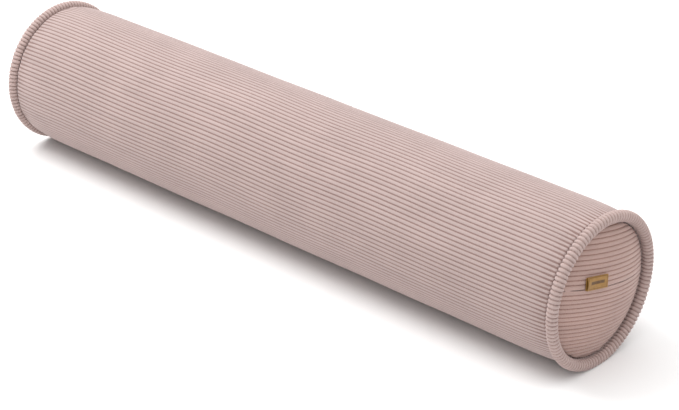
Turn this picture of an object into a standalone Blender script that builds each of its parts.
"""Bolster pillow: a firm round cushion in a zipped corduroy cover with piped ends.

The pillow lies along X and rests on its two pipings at Z = 0. The end with the zip and the label
faces +X. Everything is in metres. Soft shells are drawn as a centre line in the section plane, given
their thickness and turned about the pillow's axis.
"""
import math

import bmesh
import bpy
from mathutils import Matrix, Vector

# Overall sizes
LENGTH = 1.000              # over the two pipings
BODY_DIAMETER = 0.200       # over the cover, away from the ends
PIPING_DIAMETER = 0.0152
PIPING_STAND = 0.0038       # how far the piping stands out past the body
REST_FLAT_DEPTH = 0.0025    # how far the pillow's weight presses each piping flat

# Cover
COVER_WALL = 0.0016
TAPER_DEPTH = 0.0028        # how much the body draws in towards its end seams
TAPER_LENGTH = 0.051
TAPER_STEPS = (0.1, 0.3, 0.6, 1.0)  # shares of the taper that have a point of the section
DOME_RADIUS = 0.210         # sphere that the filled end panels follow
SHOULDER_RADIUS = 0.008     # roll of the end panel down into the groove beside the piping
SHOULDER_DEPTH = 0.0102     # that roll's centre, behind the piping's centre plane
GROOVE = 0.0016             # narrowest width of that groove
SEAM_ALLOWANCE = 0.008      # turned-in edges beyond the piping
SEAM_ANGLE = math.radians(45)

# Piping
PIPING_WALL = 0.0014
PIPING_SLIT = 0.0004        # between the two layers of the piping's seam allowance

# Zip across the +X end panel
COVER_ROLL = math.radians(-12.1)   # how the cover is turned about its axis as it lies
ZIP_HEIGHT = 0.0135         # zip line above the middle of the end panel
ZIP_END_ROOM = 0.0011       # from the tape's outer corner to the end panel's shoulder
SLIT = 0.0016               # between the two halves of the end panel
TAPE_WALL = 0.0005
TAPE_EDGE = 0.0011          # from the zip line to the tape's inner edge
TAPE_WIDTH = 0.0119
TAPE_SEAT = 0.0006          # between end panel and tape
COIL_WIDTH = 0.0021
COIL_HEIGHT = 0.0018
SLIDER_LENGTH = 0.009
SLIDER_WALL = 0.0008
SLIDER_POST = 0.0010        # width of the slider's post in the slit
SLIDER_BACK_ROOM = 0.0006   # between the slider and the inner cushion

# Label tab, folded over and sewn down beside the zip
LABEL_WIDTH = 0.035
LABEL_HEIGHT = 0.0166
LABEL_WALL = 0.0010
LABEL_FOLD = 0.0010         # space inside the fold
LABEL_OFFSET = -0.033       # middle of the label along the zip

# Care label, hanging inside the cover at the -X end
CARE_WIDTH = 0.030
CARE_LENGTH = 0.050
CARE_WALL = 0.0003
CARE_SEAT = 0.0007          # under the end panel, clear of its flat facets
CARE_END_ROOM = 0.0045      # from the strip's end to the end panel's shoulder

# Inner cushion
CASING_WALL = 0.0006
CASING_SHOULDER = 0.035     # radius of the rounded edge of the inner cushion
CASING_END_ROOM = 0.0006    # between the inner cushion and the turned-in edges of the cover
WADDING_WALL = 0.012

GAP = 0.0003                # between pieces that touch
SEGMENTS = 30               # steps of every turned piece, so that their facets line up
ZIP_STEPS = 16

PIPING_RADIUS = PIPING_DIAMETER / 2
RING_RADIUS = BODY_DIAMETER / 2 + PIPING_STAND - PIPING_RADIUS
RING_X = LENGTH / 2 - PIPING_RADIUS
AXIS_HEIGHT = RING_RADIUS + PIPING_RADIUS - REST_FLAT_DEPTH
FLANGE_HALF = PIPING_SLIT / 2 + PIPING_WALL
SEAM_REACH = PIPING_RADIUS + SEAM_ALLOWANCE
TURNED_EDGE = FLANGE_HALF + GAP + COVER_WALL / 2  # centre of a turned-in cover edge beside the flange
TAPE_FRONT = DOME_RADIUS - COVER_WALL - TAPE_SEAT
COIL_FRONT = TAPE_FRONT - TAPE_WALL - GAP
SLIDER_FRONT = COIL_FRONT - COIL_HEIGHT - GAP
SLIDER_BACK = SLIDER_FRONT - SLIDER_WALL
COIL_EDGE = SLIT / 2 + COIL_WIDTH

# The end panel's shoulder lies in the groove's width of the piping, and the dome is tangent to it.
SHOULDER_REACH = SHOULDER_RADIUS + GROOVE + PIPING_RADIUS
SHOULDER_HEIGHT = RING_RADIUS - math.sqrt(SHOULDER_REACH ** 2 - SHOULDER_DEPTH ** 2)
SHOULDER_LEAN = math.asin(SHOULDER_HEIGHT / (DOME_RADIUS - SHOULDER_RADIUS))
DOME_CENTRE = -SHOULDER_DEPTH - (DOME_RADIUS - SHOULDER_RADIUS) * math.cos(SHOULDER_LEAN)
DOME_EDGE = (DOME_RADIUS - COVER_WALL / 2) * math.sin(SHOULDER_LEAN)
TAPE_FAR_EDGE = TAPE_EDGE + TAPE_WIDTH
ZIP_HALF_LENGTH = math.sqrt(DOME_EDGE ** 2 - (ZIP_HEIGHT + TAPE_FAR_EDGE) ** 2) - ZIP_END_ROOM
SLIDER_TRAVEL_HALF = ZIP_HALF_LENGTH - SLIDER_LENGTH / 2 - GAP

COLOURS = {
    "corduroy": ((0.47, 0.27, 0.24, 1), 0.9, 0.0),
    "piping_cord": ((0.75, 0.72, 0.66, 1), 0.9, 0.0),
    "tape": ((0.45, 0.27, 0.25, 1), 0.8, 0.0),
    "coil": ((0.42, 0.25, 0.23, 1), 0.45, 0.0),
    "slider": ((0.55, 0.53, 0.50, 1), 0.35, 1.0),
    "label": ((0.43, 0.22, 0.05, 1), 0.5, 0.0),
    "satin": ((0.85, 0.84, 0.82, 1), 0.5, 0.0),
    "casing": ((0.80, 0.79, 0.76, 1), 0.9, 0.0),
    "wadding": ((0.88, 0.88, 0.88, 1), 1.0, 0.0),
    "foam": ((0.78, 0.74, 0.55, 1), 1.0, 0.0),
}


# ---------------------------------------------------------------- scene helpers

def clear_scene():
    for thing in list(bpy.data.objects):
        bpy.data.objects.remove(thing, do_unlink=True)


def new_collection(name):
    collection = bpy.data.collections.new(name)
    bpy.context.scene.collection.children.link(collection)
    return collection


def finish_for(name):
    """The piece's own Principled material."""
    if name in bpy.data.materials:
        return bpy.data.materials[name]
    colour, roughness, metallic = COLOURS[name]
    material = bpy.data.materials.new(name)
    material.use_nodes = True
    shader = material.node_tree.nodes["Principled BSDF"]
    shader.inputs["Base Color"].default_value = colour
    shader.inputs["Roughness"].default_value = roughness
    shader.inputs["Metallic"].default_value = metallic
    material.diffuse_color = colour
    return material


def piece(name, bm, finish, place=Matrix.Identity(4), parent=None):
    """Turn a bmesh into a named object with closed, outward faces."""
    bmesh.ops.remove_doubles(bm, verts=bm.verts, dist=1e-6)
    bmesh.ops.recalc_face_normals(bm, faces=bm.faces)
    mesh = bpy.data.meshes.new(name)
    bm.to_mesh(mesh)
    bm.free()
    mesh.materials.append(finish_for(finish))
    mesh.shade_smooth()
    mesh.set_sharp_from_angle(angle=math.radians(40))
    thing = bpy.data.objects.new(name, mesh)
    PARTS.objects.link(thing)
    thing.parent = parent
    thing.matrix_local = place
    return thing


# ---------------------------------------------------------------- section plane

def ribbon(line, wall, closed_at_axis=False):
    """Outline of a strip of even thickness along a centre line of (x, radius) points."""
    sides = ([], [])
    for index, point in enumerate(line):
        before = line[max(index - 1, 0)]
        after = line[min(index + 1, len(line) - 1)]
        back = Vector(point) - Vector(before) if index else Vector(after) - Vector(point)
        ahead = Vector(after) - Vector(point) if index < len(line) - 1 else back
        mitre = back.normalized() + ahead.normalized()
        normal = Vector((-mitre.y, mitre.x)).normalized()
        stretch = 1 / max(normal.dot(Vector((-back.y, back.x)).normalized()), 0.5)
        for side, sign in zip(sides, (1, -1)):
            offset = Vector(point) + normal * (sign * wall / 2 * stretch)
            if closed_at_axis and index == 0:
                offset.y = 0
            side.append((offset.x, offset.y))
    return sides[0] + sides[1][::-1]


def arc(centre, radius, start, end, count):
    """Points on an arc, with angles measured from +X towards the outside."""
    angles = [start + (end - start) * step / (count - 1) for step in range(count)]
    return [(centre[0] + radius * math.cos(a), centre[1] + radius * math.sin(a)) for a in angles]


def beside_flange(reach, side):
    """A point beside the piping's flange: reach from the piping's centre, side towards the body."""
    along = Vector((-math.cos(SEAM_ANGLE), -math.sin(SEAM_ANGLE)))
    across = Vector((-along.y, along.x)) * -1
    spot = Vector((0, RING_RADIUS)) + along * reach + across * side
    return (spot.x, spot.y)


def taper_line():
    """Centre line of the body cover where it draws in towards its end seam."""
    start = PIPING_RADIUS + GAP + COVER_WALL / 2
    full = BODY_DIAMETER / 2 - COVER_WALL / 2
    return [(-start - share * TAPER_LENGTH, full - TAPER_DEPTH * (1 - share) ** 2)
            for share in TAPER_STEPS]


def body_end_line():
    """Half of the body cover's centre line, from its turned-in edge to the straight part."""
    clear = PIPING_RADIUS + GAP + COVER_WALL / 2
    leave = math.sqrt(clear ** 2 - TURNED_EDGE ** 2)
    first = beside_flange(leave, TURNED_EDGE)
    start = math.atan2(first[1] - RING_RADIUS, first[0]) % (2 * math.pi)
    line = [beside_flange(SEAM_REACH, TURNED_EDGE)]
    return line + arc((0, RING_RADIUS), clear, start, math.radians(184), 3) + taper_line()


def dome_line():
    """Centre line of an end panel: sphere, shoulder, and the edge turned in along the flange."""
    roll = SHOULDER_RADIUS - COVER_WALL / 2
    centre = (-SHOULDER_DEPTH, SHOULDER_HEIGHT)
    lean = (RING_RADIUS - SHOULDER_HEIGHT - SHOULDER_DEPTH) * math.sin(SEAM_ANGLE)
    last = SEAM_ANGLE + math.asin((lean - TURNED_EDGE) / roll)
    line = arc((DOME_CENTRE, 0), DOME_RADIUS - COVER_WALL / 2, 0, SHOULDER_LEAN, 6)
    line += arc(centre, roll, SHOULDER_LEAN, last, 3)[1:]
    line.append(beside_flange(SEAM_REACH, -TURNED_EDGE))
    return line


def cover_radius(x):
    """Centre-line radius of the body cover at an x measured from the piping's centre plane."""
    line = taper_line()
    for (x0, r0), (x1, r1) in zip(line, line[1:]):
        if x > x1:
            return r0 + (r1 - r0) * (x - x0) / (x1 - x0)
    return line[-1][1]


def casing_shape():
    """The inner cushion's end: radius of its dome, centre of its rounded edge, and its full radius."""
    seam_room = math.hypot(SEAM_REACH, TURNED_EDGE + COVER_WALL / 2) + CASING_END_ROOM
    zip_reach = SLIDER_BACK - SLIDER_BACK_ROOM - CASING_SHOULDER
    x = -SEAM_REACH
    for _ in range(4):
        outer = cover_radius(x) - COVER_WALL / 2 - GAP
        height = outer - CASING_SHOULDER
        behind_zip = DOME_CENTRE + math.sqrt(zip_reach ** 2 - height ** 2)
        behind_seam = -math.sqrt((seam_room + CASING_SHOULDER) ** 2 - (RING_RADIUS - height) ** 2)
        x = min(behind_zip, behind_seam)
    return math.hypot(x - DOME_CENTRE, height) + CASING_SHOULDER, (x, height), outer


def casing_end_line(inset):
    """The inner cushion's domed end, drawn in by an inset: sphere and rounded edge."""
    dome, centre, _ = casing_shape()
    meet = math.atan2(centre[1], centre[0] - DOME_CENTRE)
    line = arc((DOME_CENTRE, 0), dome - inset, 0, meet, 4)
    return line + arc(centre, CASING_SHOULDER - inset, meet, math.pi / 2, 5)[1:]


def keyhole():
    """Outline of the piping's cover: round the cord, with both edges running out as a flange."""
    inner = PIPING_RADIUS - PIPING_WALL
    away = math.pi + SEAM_ANGLE
    outer_edge = math.asin(FLANGE_HALF / PIPING_RADIUS)
    inner_edge = math.asin(PIPING_SLIT / 2 / inner)
    centre = (0, RING_RADIUS)
    outline = arc(centre, PIPING_RADIUS, away + outer_edge, away + 2 * math.pi - outer_edge, 13)
    outline += [beside_flange(SEAM_REACH, FLANGE_HALF), beside_flange(SEAM_REACH, PIPING_SLIT / 2)]
    outline += cord_outline(inner, away + 2 * math.pi - inner_edge, away + inner_edge)
    outline += [beside_flange(SEAM_REACH, -PIPING_SLIT / 2), beside_flange(SEAM_REACH, -FLANGE_HALF)]
    return outline


def cord_outline(radius, start, end):
    """Points round the piping's cord, the same directions for the cord and for its cover."""
    count = 8
    away = math.pi + SEAM_ANGLE
    directions = [away + 2 * math.pi * step / count for step in range(count - 1, 0, -1)]
    return [(radius * math.cos(a), RING_RADIUS + radius * math.sin(a))
            for a in [start] + directions + [end]]


# ---------------------------------------------------------------- solids

def to_end(outline, side):
    """Move an outline from the piping's centre plane to the +X (1) or -X (-1) end."""
    return [(side * (RING_X + x), radius) for x, radius in outline]


def turned(outline, closed=True):
    """Spin an (x, radius) outline about the pillow's axis."""
    bm = bmesh.new()
    verts = [bm.verts.new((x, 0, -radius)) for x, radius in outline]
    pairs = list(zip(verts, verts[1:]))
    if closed:
        pairs.append((verts[-1], verts[0]))
    edges = [bm.edges.new(pair) for pair in pairs]
    bmesh.ops.spin(bm, geom=verts + edges, cent=(0, 0, 0), axis=(1, 0, 0),
                   angle=2 * math.pi, steps=SEGMENTS, use_merge=True, use_duplicate=False)
    return bm


def press_flat(bm, side):
    """Press the bottom of a piping flat on the floor, each layer keeping its thickness."""
    floor = -AXIS_HEIGHT
    for vert in bm.verts:
        x, y, z = vert.co
        layer = math.hypot(x - side * RING_X, math.hypot(y, z) - RING_RADIUS)
        lowest = floor + PIPING_RADIUS - layer
        if layer <= PIPING_RADIUS + GAP and z < lowest:
            vert.co.z = lowest


def on_sphere(radius, height):
    """Distance from the zip's axis at which a sphere of this radius has this height."""
    return math.sqrt(radius ** 2 - height ** 2)


def swept(outline, half_length, steps):
    """Sweep a closed (sphere radius, height) outline along the zip, to each side of its middle."""
    bm = bmesh.new()
    half_angle = half_length / DOME_RADIUS
    verts = [bm.verts.new((on_sphere(radius, height), 0, height)) for radius, height in outline]
    face = bm.faces.new(verts)
    bmesh.ops.rotate(bm, verts=verts, cent=(0, 0, 0), matrix=Matrix.Rotation(-half_angle, 3, "Z"))
    bmesh.ops.spin(bm, geom=[face], cent=(0, 0, 0), axis=(0, 0, 1),
                   angle=2 * half_angle, steps=steps, use_duplicate=False)
    return bm


def zip_band(front, back, near, far, side, chamfer=0.0):
    """Outline of a tape or coil between two depths and two distances from the zip line."""
    if chamfer:
        corners = [(front, near + chamfer), (front, far - chamfer), (front - chamfer, far),
                   (back + chamfer, far), (back, far - chamfer), (back, near + chamfer),
                   (back + chamfer, near), (front - chamfer, near)]
    else:
        corners = [(front, near), (front, far), (back, far), (back, near)]
    return [(radius, ZIP_HEIGHT + side * distance) for radius, distance in corners]


def half_space(name, side):
    """Cutter that keeps one half of the end panel, clear of the slit."""
    size = 2 * BODY_DIAMETER
    bm = bmesh.new()
    bmesh.ops.create_cube(bm, size=size)
    bmesh.ops.translate(bm, verts=bm.verts, vec=(0, 0, ZIP_HEIGHT + side * (SLIT + size) / 2))
    mesh = bpy.data.meshes.new(name)
    bm.to_mesh(mesh)
    bm.free()
    cutter = bpy.data.objects.new(name, mesh)
    CUTTERS.objects.link(cutter)
    cutter.matrix_world = Matrix.Translation((RING_X, 0, AXIS_HEIGHT)) @ COVER_TURN
    cutter.hide_render = True
    cutter.display_type = "WIRE"
    return cutter


# ---------------------------------------------------------------- pieces

def make_body_cover():
    ahead = to_end(body_end_line(), 1)
    behind = to_end(body_end_line(), -1)
    piece("cover_body", turned(ribbon(ahead + behind[::-1], COVER_WALL)), "corduroy", LYING)


def end_panel(name, side):
    outline = ribbon(to_end(dome_line(), side), COVER_WALL, closed_at_axis=True)
    return piece(name, turned(outline, closed=False), "corduroy", LYING)


def make_end_panels():
    end_panel("end_panel_far", -1)
    for name, side in (("end_panel_near_upper", 1), ("end_panel_near_lower", -1)):
        half = end_panel(name, 1)
        cut = half.modifiers.new("keep_half", "BOOLEAN")
        cut.operation = "INTERSECT"
        cut.solver = "EXACT"
        cut.object = half_space(name + "_cutter", side)


def make_pipings():
    cord = PIPING_RADIUS - PIPING_WALL - GAP
    away = math.pi + SEAM_ANGLE
    cord_section = cord_outline(cord, away + 2 * math.pi, away)[:-1]
    for end, side in (("near", 1), ("far", -1)):
        sleeve = turned(to_end(keyhole(), side))
        press_flat(sleeve, side)
        piece("piping_cover_" + end, sleeve, "corduroy", LYING)
        filler = turned(to_end(cord_section, side))
        press_flat(filler, side)
        piece("piping_cord_" + end, filler, "piping_cord", LYING)


def make_zip(axis_empty):
    for half, side in (("upper", 1), ("lower", -1)):
        tape = zip_band(TAPE_FRONT, TAPE_FRONT - TAPE_WALL, TAPE_EDGE, TAPE_FAR_EDGE, side)
        piece("zip_tape_" + half, swept(tape, ZIP_HALF_LENGTH, ZIP_STEPS), "tape", parent=axis_empty)
        coil = zip_band(COIL_FRONT, COIL_FRONT - COIL_HEIGHT, SLIT / 2, COIL_EDGE, side,
                        chamfer=COIL_HEIGHT / 4)
        piece("zip_coil_" + half, swept(coil, ZIP_HALF_LENGTH, ZIP_STEPS), "coil", parent=axis_empty)


def make_slider(axis_empty):
    """Channel round the coils with a post standing in the slit, at the closed end of its travel."""
    post = SLIDER_POST / 2
    inside = COIL_EDGE + GAP
    outside = inside + SLIDER_WALL
    half = [(SLIDER_BACK, outside), (COIL_FRONT, outside), (COIL_FRONT, inside),
            (SLIDER_FRONT, inside), (SLIDER_FRONT, post), (DOME_RADIUS - GAP, post)]
    outline = half + [(radius, -height) for radius, height in reversed(half)]
    outline = [(radius, ZIP_HEIGHT + height) for radius, height in outline]
    closed = -SLIDER_TRAVEL_HALF / DOME_RADIUS
    piece("zip_slider", swept(outline, SLIDER_LENGTH / 2, 2), "slider",
          Matrix.Rotation(closed, 4, "Z"), axis_empty)


def make_label():
    """Strip folded over at its top, with both edges down at the zip; its origin is on its hinge."""
    half_fold = (LABEL_FOLD + LABEL_WALL) / 2
    top = LABEL_HEIGHT - half_fold - LABEL_WALL / 2
    line = [(-half_fold, 0)]
    line += arc((0, top), half_fold, math.pi, 0, 6)
    line += [(half_fold, 0)]
    bm = bmesh.new()
    corners = [bm.verts.new((x, -LABEL_WIDTH / 2, z)) for x, z in ribbon(line, LABEL_WALL)]
    section = bm.faces.new(corners)
    grown = bmesh.ops.extrude_face_region(bm, geom=[section])["geom"]
    moved = [item for item in grown if isinstance(item, bmesh.types.BMVert)]
    bmesh.ops.translate(bm, verts=moved, vec=(0, LABEL_WIDTH, 0))
    along = math.asin(LABEL_OFFSET / DOME_RADIUS)
    lift = DOME_RADIUS + GAP + half_fold + LABEL_WALL / 2
    # The label lies flat on the dome at its own middle, so it tips back with the dome there.
    tip = math.asin((ZIP_HEIGHT + LABEL_HEIGHT / 2) / DOME_RADIUS)
    foot = -LABEL_HEIGHT / 2
    place = (Matrix.Translation((RING_X + DOME_CENTRE, 0, AXIS_HEIGHT)) @ COVER_TURN
             @ Matrix.Rotation(along, 4, "Z") @ Matrix.Rotation(-tip, 4, "Y")
             @ Matrix.Translation((lift, 0, foot)))
    piece("label_tab", bm, "label", place)


def make_care_label():
    """Satin strip hanging from the far end seam, between the end panel and the inner cushion."""
    front = DOME_RADIUS - COVER_WALL - CARE_SEAT
    back = front - CARE_WALL
    half = CARE_WIDTH / 2
    outline = [(front, -half), (front, half), (back, half), (back, -half)]
    middle = math.sqrt(DOME_EDGE ** 2 - half ** 2) - CARE_END_ROOM - CARE_LENGTH / 2
    along = math.asin(middle / DOME_RADIUS)
    place = (Matrix.Translation((-RING_X - DOME_CENTRE, 0, AXIS_HEIGHT))
             @ Matrix.Rotation(math.pi + along, 4, "Z"))
    piece("care_label", swept(outline, CARE_LENGTH / 2, 4), "satin", place)


def make_inner_cushion():
    _, shoulder, outer = casing_shape()
    joint = -shoulder[0]
    # Casing: a tube that follows the cover, and a domed end at each side.
    under_cover = COVER_WALL / 2 + GAP + CASING_WALL / 2
    run = [(-joint - GAP, outer - CASING_WALL / 2)]
    run += [(x, radius - under_cover) for x, radius in taper_line() if x < -joint - 2 * GAP]
    tube = to_end(run, 1) + to_end(run, -1)[::-1]
    piece("casing_body", turned(ribbon(tube, CASING_WALL)), "casing", LYING)
    pad_back = joint + GAP + CASING_WALL
    pad_line = casing_end_line(CASING_WALL + GAP)
    pad = pad_line + [(-pad_back, pad_line[-1][1]), (-pad_back, 0)]
    for end, side in (("near", 1), ("far", -1)):
        ends = ribbon(to_end(casing_end_line(CASING_WALL / 2), side), CASING_WALL, closed_at_axis=True)
        piece("casing_end_" + end, turned(ends, closed=False), "casing", LYING)
        piece("wadding_pad_" + end, turned(to_end(pad, side), closed=False), "wadding", LYING)
    # Wadding rolled round the foam core, both ending against the pads.
    half = RING_X - pad_back - GAP
    around = pad_line[-1][1]
    core = around - WADDING_WALL
    wrap = [(half, around), (-half, around), (-half, core), (half, core)]
    piece("wadding_wrap", turned(wrap), "wadding", LYING)
    solid = [(half, 0), (half, core - GAP), (-half, core - GAP), (-half, 0)]
    piece("foam_core", turned(solid, closed=False), "foam", LYING)


clear_scene()
PARTS = new_collection("bolster_pillow")
CUTTERS = new_collection("cutters")
LYING = Matrix.Translation((0, 0, AXIS_HEIGHT))
COVER_TURN = Matrix.Rotation(COVER_ROLL, 4, "X")

zip_axis = bpy.data.objects.new("zip_axis", None)
PARTS.objects.link(zip_axis)
zip_axis.matrix_world = Matrix.Translation((RING_X + DOME_CENTRE, 0, AXIS_HEIGHT)) @ COVER_TURN

make_body_cover()
make_end_panels()
make_pipings()
make_zip(zip_axis)
make_slider(zip_axis)
make_label()
make_care_label()
make_inner_cushion()
